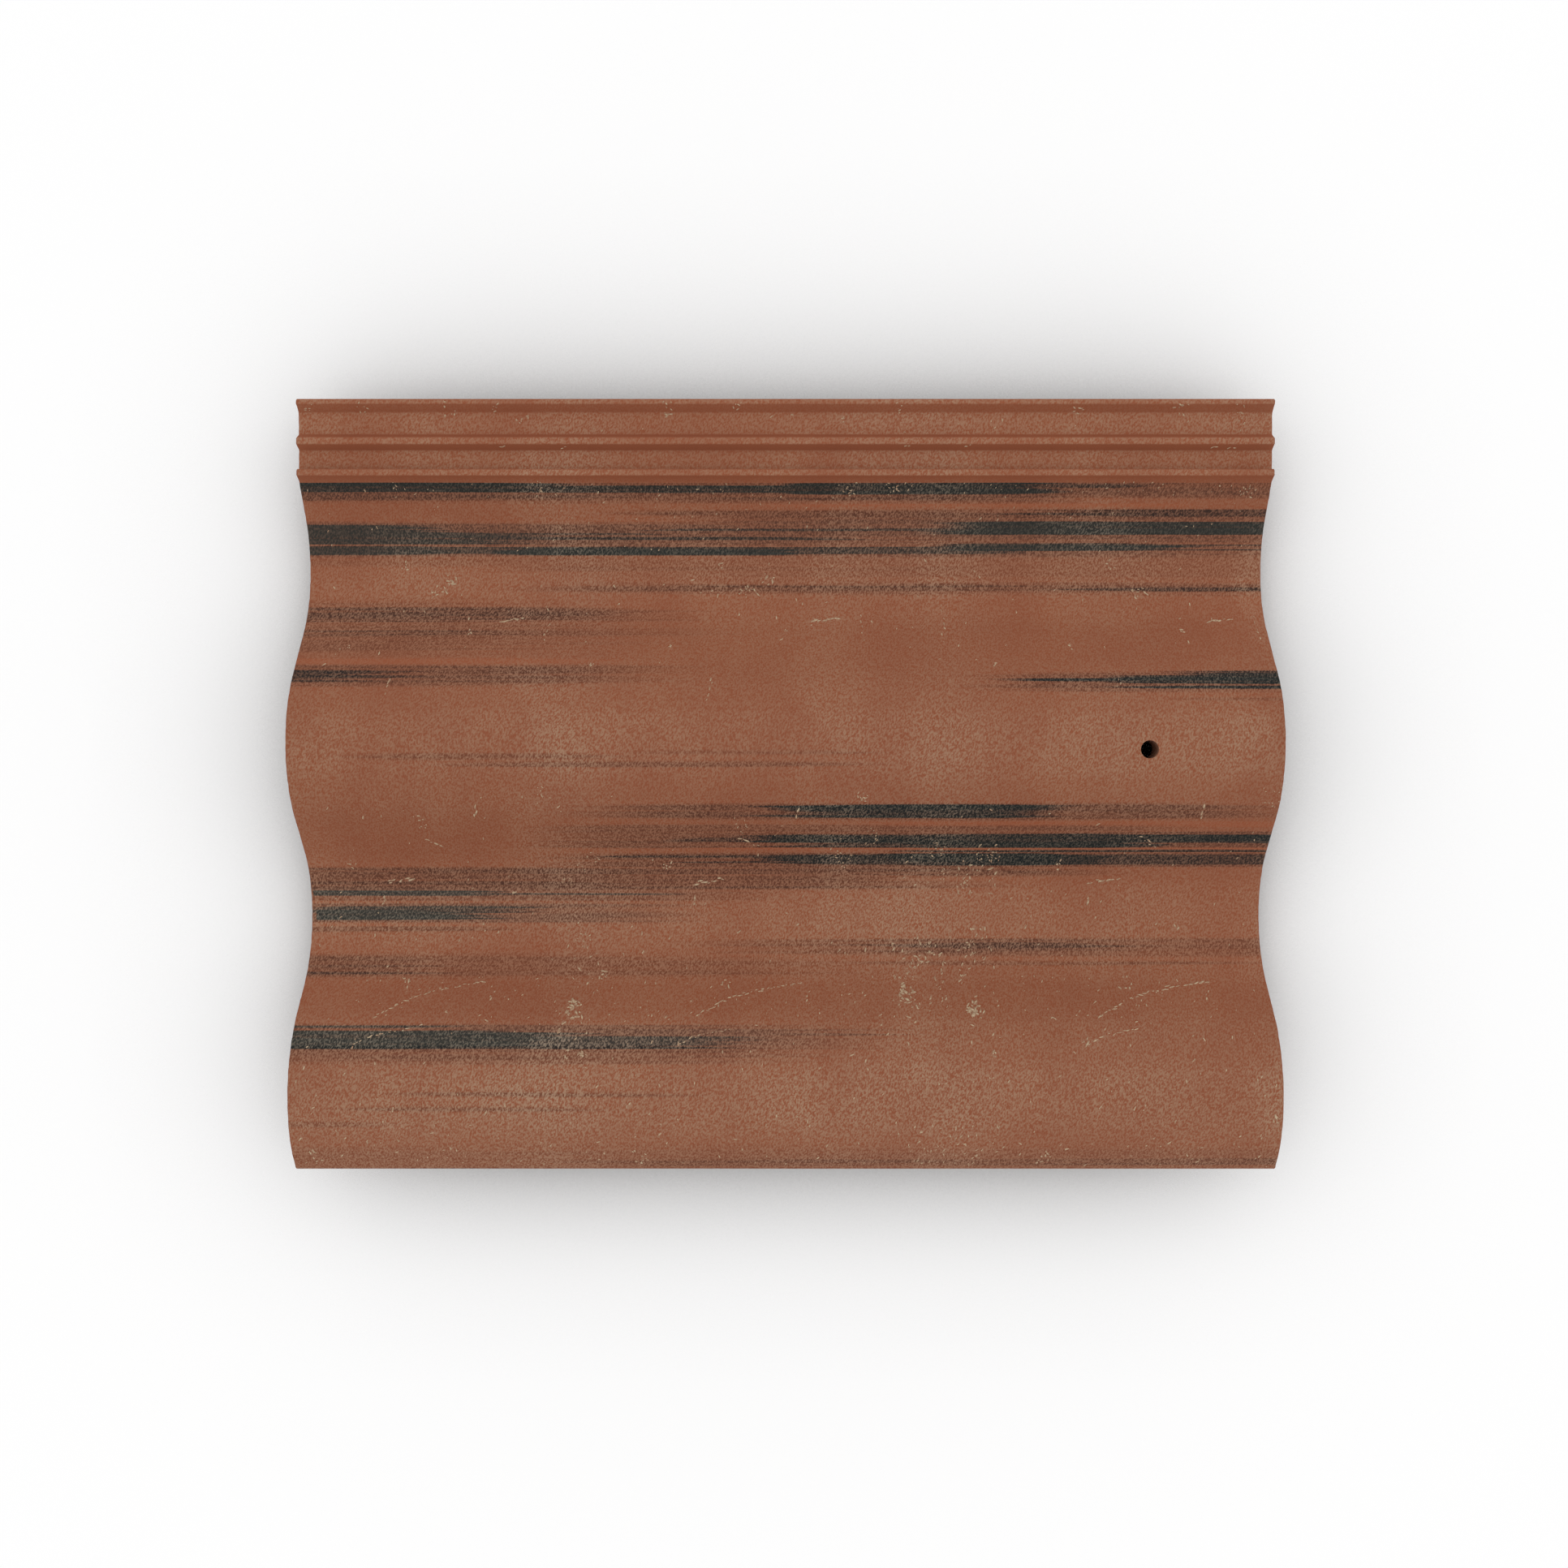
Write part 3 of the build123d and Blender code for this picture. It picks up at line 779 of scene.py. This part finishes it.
@dataclass(frozen=True)
class CrumbFinish(RoughFinish):
    """Pale mortar crumbs that stuck to the tile as it was made."""

    name: str = "mortar_crumbs"
    relief_strength: float = 0.3
    relief_depth: float = 0.2
    roughness: Span = (0.8, 0.95)
    pale: Colour = (0.50, 0.385, 0.255)
    dull: Colour = (0.35, 0.215, 0.135)
    patch_scale: float = 0.9
    grain_scale: float = 3.0

    def build(self) -> bpy.types.Material:
        """Draws the material.

        Returns:
            The material.
        """
        material, sheet = new_material(self.name)
        coordinates = sheet.node("ShaderNodeTexCoord").outputs
        place = sheet.stretch(coordinates["Object"], (1 / MM, 1 / MM, 1 / MM))
        patch = sheet.step(sheet.noise(place, self.patch_scale), 0.35, 0.65)
        grain = sheet.noise(place, self.grain_scale)
        self.coat(sheet, sheet.mix(patch, self.dull, self.pale), grain, grain)
        return material


# Working on meshes by hand


def make_active(piece: bpy.types.Object) -> None:
    """Selects one object alone and makes it the active one.

    Args:
        piece: The object.
    """
    bpy.ops.object.select_all(action="DESELECT")
    piece.select_set(True)
    bpy.context.view_layer.objects.active = piece


@contextmanager
def edit_mode(piece: bpy.types.Object, kind: str = "FACE") -> Iterator[None]:
    """Opens a mesh in edit mode with nothing selected, and closes it again.

    Args:
        piece: The object.
        kind: What is selected in it, VERT, EDGE or FACE.
    """
    make_active(piece)
    bpy.ops.object.mode_set(mode="EDIT")
    bpy.ops.mesh.select_mode(type=kind)
    bpy.ops.mesh.select_all(action="DESELECT")
    try:
        yield
    finally:
        bpy.ops.object.mode_set(mode="OBJECT")


def select_faces(piece: bpy.types.Object, wanted: Callable[[bmesh.types.BMFace], bool]) -> None:
    """Selects the faces that pass a test, in edit mode.

    Args:
        piece: The object.
        wanted: The test.
    """
    shape = bmesh.from_edit_mesh(piece.data)
    for face in shape.faces:
        face.select_set(wanted(face))
    bmesh.update_edit_mesh(piece.data)


def cut_rows(places: Sequence[float], axis: Vector) -> None:
    """Cuts all that shows of the mesh in edit mode by planes square to an axis.

    Args:
        places: Where the planes are along the axis, in metres.
        axis: The axis.
    """
    for place in places:
        bpy.ops.mesh.select_all(action="SELECT")
        bpy.ops.mesh.bisect(plane_co=axis * place, plane_no=axis, use_fill=False)


def spaced(low: float, high: float, step: float) -> list[float]:
    """Even places between two ends, in metres, with the ends and step in millimetres."""
    count = max(1, round((high - low) / step))
    return [(low + (high - low) * index / count) * MM for index in range(1, count)]


@dataclass
class TileBody:
    """The tile itself: the CAD body with softened arrises, a faintly uneven skin and granular ends."""

    name: str = "tile_body"
    half_length: float = 210.0
    half_width: float = 165.0
    first_rib: float = 130.0
    end_heights: Span = (10.0, 60.0)
    arris: float = 0.5
    row: float = 7.0
    row_margin: float = 2.0
    end_row: float = 2.2
    end_roughness: float = 0.28
    pit_size: float = 2.6
    unevenness: float = 0.14
    ripple_length: float = 34.0
    skin_slope: float = 0.3
    smooth_angle: float = 32.0
    piece: Optional[bpy.types.Object] = field(default=None, init=False)

    def build(self, node: bpy.types.Object, finish: bpy.types.Material) -> bpy.types.Object:
        """Makes the piece from a copy of the CAD body's mesh.

        Args:
            node: The CAD body.
            finish: The tile's material.

        Returns:
            The finished piece.
        """
        mesh = node.data.copy()
        mesh.name = self.name
        mesh.materials.clear()
        mesh.materials.append(finish)
        self.piece = bpy.data.objects.new(self.name, mesh)
        bpy.context.scene.collection.objects.link(self.piece)
        self.close_mesh()
        self.soften_ends()
        self.cut_grid()
        self.roughen()
        make_active(self.piece)
        bpy.ops.object.shade_smooth_by_angle(angle=math.radians(self.smooth_angle))
        return self.piece

    def close_mesh(self) -> None:
        """Merges the loose triangles and joins those that lie in one plane."""
        make_active(self.piece)
        bpy.ops.mesh.customdata_custom_splitnormals_clear()
        with edit_mode(self.piece, "VERT"):
            bpy.ops.mesh.select_all(action="SELECT")
            bpy.ops.mesh.mark_sharp(clear=True)
            bpy.ops.mesh.remove_doubles(threshold=0.001 * MM)
            bpy.ops.mesh.dissolve_limited(angle_limit=math.radians(0.03))

    def off_end(self, x: float) -> float:
        """How far a place along the tile is from the nearer end, both in metres."""
        return abs(abs(x) - self.half_length * MM)

    def is_end(self, face: bmesh.types.BMFace) -> bool:
        """Whether a face is part of the tail or the head."""
        return abs(face.normal.x) > 0.99 and self.off_end(face.calc_center_median().x) < 0.01 * MM

    def soften_ends(self) -> None:
        """Takes the sharp arris off round both ends."""
        with edit_mode(self.piece):
            select_faces(self.piece, self.is_end)
            bpy.ops.mesh.inset(thickness=self.arris * MM, depth=0.0, use_boundary=True, use_even_offset=True)
            shape = bmesh.from_edit_mesh(self.piece.data)
            inner = {vertex for face in shape.faces if face.select for vertex in face.verts}
            for vertex in shape.verts:
                if self.off_end(vertex.co.x) < 0.001 * MM and vertex not in inner:
                    vertex.co.x -= math.copysign(self.arris * MM, vertex.co.x)
            bmesh.update_edit_mesh(self.piece.data)

    def cut_grid(self) -> None:
        """Cuts the skin into rows along and across, and the ends into small fields."""
        along = Vector((1.0, 0.0, 0.0))
        across = Vector((0.0, 1.0, 0.0))
        up = Vector((0.0, 0.0, 1.0))
        inside = self.half_length - self.row_margin
        with edit_mode(self.piece):
            cut_rows(spaced(-inside, inside, self.row), along)
            cut_rows(spaced(-self.half_width, self.first_rib, self.row), across)
            select_faces(self.piece, self.is_end)
            bpy.ops.mesh.hide(unselected=True)
            cut_rows(spaced(-self.half_width, self.half_width, self.end_row), across)
            cut_rows(spaced(*self.end_heights, self.end_row), up)
            bpy.ops.mesh.reveal(select=False)

    def roughen(self) -> None:
        """Lowers the skin by a faint ripple and the ends by small pits, always into the body."""
        mesh = self.piece.data
        normals = [normal.vector.copy() for normal in mesh.vertex_normals]
        for vertex, normal in zip(mesh.vertices, normals):
            place = vertex.co / MM
            at_end = abs(abs(place.x) - self.half_length) < 0.01
            if at_end and abs(normal.x) > 0.9:
                pit = 0.5 + 0.5 * noise.noise(place / self.pit_size)
                vertex.co.x -= math.copysign(pit * self.end_roughness * MM, vertex.co.x)
            elif normal.z > self.skin_slope:
                long_place = Vector((place.x / (3 * self.ripple_length), place.y / self.ripple_length, 3.0))
                ripple = 0.5 + 0.5 * noise.noise(long_place)
                vertex.co -= normal * (ripple * self.unevenness * MM)
        mesh.update()


# Crumbs


class Scatter(Enum):
    """How crumbs lie round their mark."""

    CLUSTER = "cluster"
    DASH = "dash"
    TRAIL = "trail"


@dataclass(frozen=True)
class Mark:
    """A group of crumbs, by the points it follows, in X and Y."""

    scatter: Scatter
    points: tuple[tuple[float, float], ...]
    count: int
    size: float
    spread: float
    stretch: float


# How far apart the crumbs of a scratch are.
CRUMB_STEP = 1.7


def cluster(x: float, y: float, count: int, radius: float, size: float) -> Mark:
    """A handful of crumbs round a point."""
    return Mark(Scatter.CLUSTER, ((x, y),), count, size, spread=radius, stretch=1.5)


def dash(x: float, y: float, length: float, angle: float, size: float = 0.36) -> Mark:
    """A short scratch of crumbs through a point.

    Args:
        x: Where the point is along the tile.
        y: Where it is across the tile.
        length: How long the scratch is.
        angle: Its angle from the tile's length, in degrees.
        size: The size of its crumbs.

    Returns:
        The mark.
    """
    reach = Vector((math.cos(math.radians(angle)), math.sin(math.radians(angle)))) * length / 2
    points = ((x - reach.x, y - reach.y), (x + reach.x, y + reach.y))
    return Mark(Scatter.DASH, points, max(2, round(length / CRUMB_STEP)), size, spread=0.35, stretch=2.2)


def trail(*points: tuple[float, float], step: float = CRUMB_STEP, size: float = 0.28) -> Mark:
    """A long curved scratch of crumbs through these points."""
    length = sum(math.dist(a, b) for a, b in zip(points, points[1:]))
    return Mark(Scatter.TRAIL, points, round(length / step), size, spread=0.28, stretch=2.5)


MARKS: tuple[Mark, ...] = (
    *(cluster(x, 161.3, 6, 2.4, 0.32) for x in (-205, -182, -125, -20, 48, 126, 195)),
    *(cluster(x, 161.3, 10, 3.4, 0.34) for x in (-145, -50, 170)),
    *(cluster(x, 156.5, 4, 1.8, 0.34) for x in (-115, 25, 197)),
    *(dash(x, 144.6, 3.0, 20, 0.32) for x in (-122, -95, 52, 78, 184, 192)),
    *(dash(x, 71.5, 12.0, 8, 0.46) for x in (-120, 17, 190)),
    *(cluster(x, 96.0, 5, 2.5, 0.36) for x in (-168, -30, 143)),
    *(cluster(x, 90.0, 12, 3.0, 0.38) for x in (-147, -8)),
    *(cluster(x, y, 12, 3.4, 0.28) for x, y in ((28, 128), (46, 127), (-107, 127), (200, 127))),
    *(dash(x, 84.5, 4.5, -50) for x in (-150, -14, 158)),
    *(cluster(x, 84.5, 9, 3.0, 0.36) for x in (-154, -18, 154)),
    *(dash(x, 42.5, 5.5, 76, 0.40) for x in (-168.5, -31.5, 141.5)),
    *(dash(x, 37.0, 4.0, 72, 0.24) for x in (-170, -33, 140)),
    *(cluster(x, 51.0, 4, 1.3, 0.40) for x in (-83, 90)),
    *(cluster(x, 66.5, 3, 1.0, 0.38) for x in (-137, 0, 173)),
    *(cluster(x, 59.0, 3, 1.2, 0.36) for x in (-188, -50, 123)),
    *(trail((x, 79.0), (x + 1.5, 70.0), (x + 0.5, 60.0), step=2.6, size=0.26) for x in (-105, 68)),
    *(trail((x, 74.0), (x + 1.0, 62.0), step=2.6, size=0.26) for x in (33, 205)),
    *(dash(x, -43.0, 14.0, 8, 0.46) for x in (-170, -33, 140)),
    *(cluster(x, -36.0, 6, 2.4, 0.36) for x in (-190, -52, 120)),
    *(dash(x, -52.0, 5.0, 75, 0.40) for x in (-178, -40, 134)),
    *(dash(x, -25.5, 9.0, -30, 0.42) for x in (-153, -16, 157)),
    *(dash(x, -12.0, 5.5, 84, 0.46) for x in (-132, 5, 178)),
    *(cluster(x, y, 9, 4.0, 0.30) for x, y in ((-103, -4), (-157, -16), (-20, -17))),
    cluster(33, -5.0, 9, 2.8, 0.44),
    cluster(206, -6.0, 16, 6.0, 0.30),
    *(cluster(x + lean, -38 + lean, 7, 2.8, 0.29) for x in (-90, 84) for lean in (-6, 0, 6)),
    cluster(70, -39, 9, 4.6, 0.28),
    *(cluster(x, y, 14, 4.2, 0.30) for x, y in ((25, -33), (36, -23), (66, -29), (88, -32))),
    *(cluster(x, y, 14, 4.4, 0.32) for x, y in ((-90, -69), (83, -71), (62, -75))),
    trail((-177, -100), (-165, -94), (-152, -90), (-132, -86.5), size=0.34),
    trail((-39, -100), (-27, -94), (-14, -90), (8, -87.0), size=0.34),
    trail((134, -100), (146, -94), (160, -90), (186, -86.0), size=0.34),
    *(trail((x, -110.5), (x + 8, -107), (x + 23, -104.3), step=1.8) for x in (-184, -46, 128)),
    *(dash(x, -92.0, 5.0, 60, 0.38) for x in (-127, 10, 183)),
    *(cluster(x, y, 26, 3.6, 0.56) for x, y in ((-91, -97), (52, -91), (82, -97))),
    *(cluster(x, y, 8, 3.0, 0.34) for x, y in ((54, -84), (57, -79), (64, -73))),
    *(cluster(x, y, 6, 3.2, 0.45) for x, y in ((-165, -87), (-25, -87), (148, -87), (-80, -85))),
    *(dash(x, -110.0, 4.0, 66, 0.42) for x in (-183, -45, 128)),
    *(cluster(x, -114.0, 5, 1.6, 0.5) for x in (-85, 88)),
    *(cluster(x, -159.0, 8, 4.0, 0.45) for x in (-200, -62, 110)),
    cluster(207, -141.0, 5, 2.0, 0.5),
)


@dataclass(frozen=True)
class Sprinkle:
    """Single crumbs spread at random over a strip of the weathered face."""

    low: float
    high: float
    count: int
    size: float
    start: float = -207.0
    end: float = 207.0


SPRINKLES: tuple[Sprinkle, ...] = (
    Sprinkle(151.5, 159.0, 16, 0.32),
    Sprinkle(126.0, 130.0, 70, 0.24),
    Sprinkle(50.0, 100.0, 70, 0.34),
    Sprinkle(102.0, 128.0, 90, 0.28),
    Sprinkle(-60.0, -5.0, 80, 0.36),
    Sprinkle(-50.0, -24.0, 26, 0.46, 74.0, 94.0),
    Sprinkle(-100.0, -68.0, 46, 0.46, 46.0, 70.0),
    Sprinkle(-112.0, -64.0, 30, 0.46, 76.0, 92.0),
    Sprinkle(-116.0, -62.0, 26, 0.44, -97.0, -82.0),
    Sprinkle(-118.0, -62.0, 130, 0.38),
    Sprinkle(-101.0, -84.0, 110, 0.28),
    Sprinkle(-163.0, -118.0, 130, 0.36),
    Sprinkle(-162.0, -144.0, 60, 0.34, 52.0, 94.0),
    Sprinkle(-164.0, -148.0, 60, 0.36),
)


@dataclass
class MortarCrumbs:
    """The pale crumbs and scratches on the weathered face, sunk into it.

    The sizes and stretches are shares of what a mark or a sprinkle asks for, and the sprinkle's
    stretches are plain values. Its heading is a mean and a deviation, in degrees.
    """

    name: str = "mortar_crumbs"
    seed: int = 11
    sink: float = 0.45
    flatness: float = 0.55
    narrowness: float = 0.8
    lumpiness: float = 0.22
    lump_scale: float = 1.7
    mark_sizes: Span = (0.6, 1.4)
    mark_stretches: Span = (0.6, 1.3)
    sprinkle_heading: Span = (65.0, 30.0)
    sprinkle_sizes: Span = (0.5, 1.25)
    sprinkle_stretches: Span = (1.2, 2.6)
    drop_height: float = 200.0
    top_gap: float = 0.02
    skin_slope: float = 0.3
    smooth_angle: float = 50.0
    pieces: list[bpy.types.Object] = field(default_factory=list, init=False)

    def model_crumb(self) -> bpy.types.Object:
        """Models the one crumb that the others are copies of, a low broken lump.

        Returns:
            The crumb, about one unit in radius.
        """
        bpy.ops.object.select_all(action="DESELECT")
        bpy.ops.mesh.primitive_ico_sphere_add(subdivisions=2, radius=1.0)
        crumb = bpy.context.active_object
        crumb.name = "crumb_model"
        with edit_mode(crumb, "VERT"):
            bpy.ops.mesh.select_all(action="SELECT")
            bpy.ops.mesh.bisect(plane_co=(0, 0, 0), plane_no=(0, 0, 1), use_fill=True, clear_inner=True)
            bpy.ops.mesh.select_all(action="SELECT")
            bpy.ops.transform.resize(value=(1.0, self.narrowness, self.flatness))
        for vertex in crumb.data.vertices:
            lump = noise.noise(vertex.co * self.lump_scale + Vector((4.0, 1.0, 7.0)))
            vertex.co *= 1.0 + self.lumpiness * lump
        return crumb

    def spots(self, mark: Mark, chance: random.Random) -> list[tuple[float, float, float]]:
        """Where the crumbs of a mark lie, and which way they point.

        Args:
            mark: The mark.
            chance: The source of its random draws.

        Returns:
            For each crumb its X and Y in millimetres and its heading in radians.
        """
        found = []
        if mark.scatter is Scatter.CLUSTER:
            middle_x, middle_y = mark.points[0]
            for _ in range(mark.count):
                reach = mark.spread * math.sqrt(chance.random())
                angle = chance.uniform(0, math.tau)
                x, y = middle_x + reach * math.cos(angle), middle_y + reach * math.sin(angle)
                found.append((x, y, chance.uniform(0, math.pi)))
            return found
        lengths = [math.dist(a, b) for a, b in zip(mark.points, mark.points[1:])]
        for index in range(mark.count):
            run = sum(lengths) * (index + chance.uniform(0.1, 0.9)) / mark.count
            leg = 0
            while leg < len(lengths) - 1 and run > lengths[leg]:
                run -= lengths[leg]
                leg += 1
            a, b = Vector(mark.points[leg]), Vector(mark.points[leg + 1])
            spot = a.lerp(b, run / lengths[leg])
            heading = math.atan2(b.y - a.y, b.x - a.x) + chance.gauss(0, 0.25)
            x, y = spot.x + chance.gauss(0, mark.spread), spot.y + chance.gauss(0, mark.spread)
            found.append((x, y, heading))
        return found

    def placed(self, chance: random.Random) -> Iterator[tuple[float, float, float, float, float]]:
        """Draws every crumb.

        Args:
            chance: The source of its random draws.

        Returns:
            For each crumb its X, Y, heading, size and stretch, one after the other.
        """
        for mark in MARKS:
            for x, y, heading in self.spots(mark, chance):
                size = mark.size * chance.uniform(*self.mark_sizes)
                yield x, y, heading, size, mark.stretch * chance.uniform(*self.mark_stretches)
        for sprinkle in SPRINKLES:
            for _ in range(sprinkle.count):
                x = chance.uniform(sprinkle.start, sprinkle.end)
                y = chance.uniform(sprinkle.low, sprinkle.high)
                heading = math.radians(chance.gauss(*self.sprinkle_heading))
                size = sprinkle.size * chance.uniform(*self.sprinkle_sizes)
                yield x, y, heading, size, chance.uniform(*self.sprinkle_stretches)

    def build(self, body: bpy.types.Object, finish: bpy.types.Material) -> bpy.types.Object:
        """Scatters copies of the crumb over the tile and joins them into one piece.

        Args:
            body: The tile, which the crumbs sit on.
            finish: Their material.

        Returns:
            The finished piece.
        """
        chance = random.Random(self.seed)
        skin = BVHTree.FromObject(body, bpy.context.evaluated_depsgraph_get())
        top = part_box("roof_tile")[1].z - self.top_gap * MM
        model = self.model_crumb()
        for x, y, heading, size, stretch in self.placed(chance):
            above = Vector((x * MM, y * MM, self.drop_height * MM))
            hit, normal, _, _ = skin.ray_cast(above, Vector((0, 0, -1)))
            if hit is None or normal.z < self.skin_slope:
                continue
            copy = bpy.data.objects.new(self.name, model.data.copy())
            bpy.context.scene.collection.objects.link(copy)
            turn = normal.to_track_quat("Z", "Y").to_matrix().to_4x4() @ Matrix.Rotation(heading, 4, "Z")
            scale = Matrix.Diagonal((size * stretch * MM, size * MM, size * MM, 1.0))
            seat = hit - normal * (size * self.flatness * self.sink * MM)
            copy.data.transform(Matrix.Translation(seat) @ turn @ scale)
            for vertex in copy.data.vertices:
                vertex.co.z = min(vertex.co.z, top)
            self.pieces.append(copy)
        bpy.data.objects.remove(model)
        return self.join(finish)

    def join(self, finish: bpy.types.Material) -> bpy.types.Object:
        """Joins the crumbs.

        Args:
            finish: Their material.

        Returns:
            The joined piece.
        """
        bpy.ops.object.select_all(action="DESELECT")
        for copy in self.pieces:
            copy.select_set(True)
        bpy.context.view_layer.objects.active = self.pieces[0]
        bpy.ops.object.join()
        joined = bpy.context.active_object
        joined.name = self.name
        joined.data.materials.clear()
        joined.data.materials.append(finish)
        bpy.ops.object.shade_smooth_by_angle(angle=math.radians(self.smooth_angle))
        return joined


# Floor, light and camera


@dataclass
class Studio:
    """A white floor, an even sky of soft light and a camera straight above the tile.

    The painted shadow reach is how far out, in metres, a shadow is painted on the floor by ambient occlusion
    beside what stands on it, and the painted shadow depth sets how dark it gets.
    """

    floor_size: float = 6.0
    floor_shade: float = 0.80
    # Painted shadow on the floor, from ambient occlusion.
    painted_shadow_reach: float = 0.12
    painted_shadow_depth: float = 2.3
    sky_level: float = 0.88
    lamp_level: float = 0.40
    lamp_tilt: float = 20.0
    lamp_spread: float = 70.0
    lamp_place: Triple = (0.0, 0.5, 1.5)
    camera_place: Triple = (-0.00064, 0.01197, 0.7228)
    camera_tilt: float = -1.02
    lens: float = 36.30
    sensor: float = 36.0
    clip: Span = (0.01, 20.0)

    def floor(self) -> None:
        """Lays the floor, which looks white and keeps the tile's shadow, with more shadow painted beside and
        under the tile from ambient occlusion.
        """
        bpy.ops.object.select_all(action="DESELECT")
        bpy.ops.mesh.primitive_plane_add(size=self.floor_size)
        floor = bpy.context.active_object
        floor.name = "floor"
        material, sheet = new_material("white_floor")
        rays = sheet.node("ShaderNodeLightPath")
        seen = sheet.math("MAXIMUM", rays.outputs["Is Camera Ray"], rays.outputs["Is Glossy Ray"])
        seen = sheet.math("MAXIMUM", seen, rays.outputs["Is Transmission Ray"])
        shade = (self.floor_shade, self.floor_shade, self.floor_shade)
        # Painted shadow: ambient occlusion darkens the floor's colour beside the tile and under it.
        openness = sheet.node("ShaderNodeAmbientOcclusion", samples=4)
        openness.inputs["Distance"].default_value = self.painted_shadow_reach
        painted_shadow = sheet.math("SUBTRACT", 1.0, openness.outputs["AO"])
        painted_shadow = sheet.math("MULTIPLY", sheet.math("MULTIPLY", painted_shadow, painted_shadow), -self.painted_shadow_depth)
        white = sheet.math("ADD", painted_shadow, 1.0, clamp=True)
        shader = sheet.node("ShaderNodeBsdfDiffuse")
        sheet.feed(shader.inputs["Color"], sheet.mix(seen, shade, white))
        sheet.end_in(shader)
        floor.data.materials.append(material)

    def light(self) -> None:
        """Sets the even sky, and a soft lamp that leans to the underlock's side."""
        scene = bpy.context.scene
        world = bpy.data.worlds.new("soft_sky")
        world.use_nodes = True
        world.node_tree.nodes.clear()
        sheet = Sheet(world.node_tree)
        sky = sheet.node("ShaderNodeBackground")
        sky.inputs["Color"].default_value = (1.0, 1.0, 1.0, 1.0)
        sky.inputs["Strength"].default_value = self.sky_level
        sheet.end_in(sky, "ShaderNodeOutputWorld")
        scene.world = world
        lamp_data = bpy.data.lights.new("soft_lamp", "SUN")
        lamp_data.energy = self.lamp_level
        lamp_data.angle = math.radians(self.lamp_spread)
        lamp = bpy.data.objects.new("soft_lamp", lamp_data)
        lamp.location = self.lamp_place
        lamp.rotation_euler = (-math.radians(self.lamp_tilt), 0.0, 0.0)
        scene.collection.objects.link(lamp)

    def camera(self) -> None:
        """Hangs the camera above the tile and makes it the scene's own."""
        data = bpy.data.cameras.new("look_down")
        data.lens = self.lens
        data.sensor_width = self.sensor
        data.clip_start, data.clip_end = self.clip
        camera = bpy.data.objects.new("look_down", data)
        camera.location = self.camera_place
        camera.rotation_euler = (math.radians(self.camera_tilt), 0.0, 0.0)
        bpy.context.scene.collection.objects.link(camera)
        bpy.context.scene.camera = camera


def main() -> None:
    """Builds the studio, the tile and its crumbs in order."""
    logging.basicConfig(level=logging.INFO, format="%(name)s: %(message)s")
    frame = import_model()
    bpy.context.scene.view_settings.view_transform = "Standard"

    studio = Studio()
    studio.floor()
    studio.light()
    studio.camera()
    log.info("studio ready")

    body = TileBody().build(frame["nodes"]["roof_tile"], ConcreteFinish().build())
    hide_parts("roof_tile")
    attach(body, "root")
    log.info("%s: %d faces", body.name, len(body.data.polygons))

    crumbs = MortarCrumbs().build(body, CrumbFinish().build())
    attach(crumbs, "root")
    log.info("%s: %d faces", crumbs.name, len(crumbs.data.polygons))


if __name__ == "__main__":
    main()
